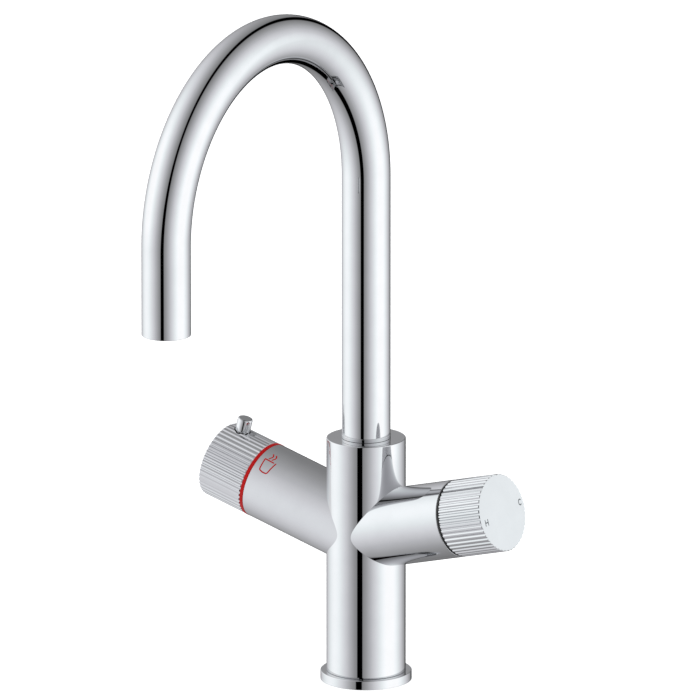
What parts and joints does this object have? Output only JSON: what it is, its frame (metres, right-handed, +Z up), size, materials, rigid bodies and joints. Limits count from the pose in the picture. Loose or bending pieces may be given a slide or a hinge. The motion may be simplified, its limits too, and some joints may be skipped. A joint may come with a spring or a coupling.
{
  "type": "boiling water tap",
  "caption": "Chrome kitchen tap with a straight column, a tall swivelling gooseneck spout, a fluted mixer knob and a fluted boiling-water knob with a red ring and a child-lock button.",
  "frame": {"origin": "centre of the base flange's underside, on the worktop", "axes": "+Z up along the column; the spout points to -Y; the mixer arm is on +X and the boiling arm on -X"},
  "size_m": [0.209, 0.2405, 0.415],
  "materials": {
    "polished_chrome": "polished",
    "brass": "satin",
    "steel": "satin",
    "ceramic": "satin",
    "rubber": "matte",
    "black_plastic": "satin",
    "grey_plastic": "satin",
    "silicone": "satin",
    "red_enamel": "gloss"
  },
  "bodies": {
    "column": {"tap_body": "polished_chrome", "base_flange": "polished_chrome", "base_gasket": "rubber", "hose_connector_block": "brass", "connector_o_rings": "rubber", "upper_spout_bush": "black_plastic", "lower_spout_bush": "black_plastic", "spout_retaining_screw": "steel", "mixer_glide_ring": "black_plastic", "mixer_port_seal": "rubber", "mixer_cartridge_base": "grey_plastic", "mixer_fixed_disc": "ceramic", "mixer_cartridge_housing": "grey_plastic", "mixer_cartridge_nut": "brass", "boiling_ring": "red_enamel", "boiling_port_seal": "rubber", "boiling_fixed_disc": "ceramic", "boiling_valve_body": "brass", "lock_sleeve": "brass"},
    "spout": {"spout_foot": "polished_chrome", "spout_tube": "polished_chrome", "spout_o_rings": "rubber", "boiling_hose": "silicone", "aerator_housing": "polished_chrome", "aerator_insert": "grey_plastic", "boiling_nozzle": "polished_chrome"},
    "mixer_handle": {"mixer_knob": "polished_chrome", "mixer_hub": "grey_plastic", "mixer_hub_screw": "steel", "mixer_grub_screw": "steel", "mixer_spindle": "brass", "mixer_moving_disc": "ceramic"},
    "boiling_handle": {"boiling_knob": "polished_chrome", "boiling_hub": "grey_plastic", "boiling_hub_screw": "steel", "boiling_grub_screw": "steel", "boiling_spindle": "brass", "boiling_moving_disc": "ceramic", "button_guide": "brass", "button_spring": "steel"},
    "button": {"lock_button": "polished_chrome", "button_circlip": "steel"}
  },
  "joints": [
    {"name": "spout_swivel", "type": "hinge", "parent": "column", "child": "spout", "pos_m": [0, 0, 0.145], "axis": [0, 0, 1], "range_deg": [-75, 75]},
    {"name": "mixer_turn", "type": "hinge", "parent": "column", "child": "mixer_handle", "pos_m": [0, 0, 0.089], "axis": [0.9659, 0, 0.2588], "range_deg": [-90, 90]},
    {"name": "boiling_turn", "type": "hinge", "parent": "column", "child": "boiling_handle", "pos_m": [0, 0, 0.089], "axis": [0.9659, 0, -0.2588], "range_deg": [0, 90]},
    {"name": "lock_button_press", "type": "slide", "parent": "boiling_handle", "child": "button", "axis": [-0.2588, 0, -0.9659], "range_m": [0, 0.002], "stiffness_N_per_m": 500, "springref_m": -0.002, "deforming": ["button_spring"]}
  ]
}
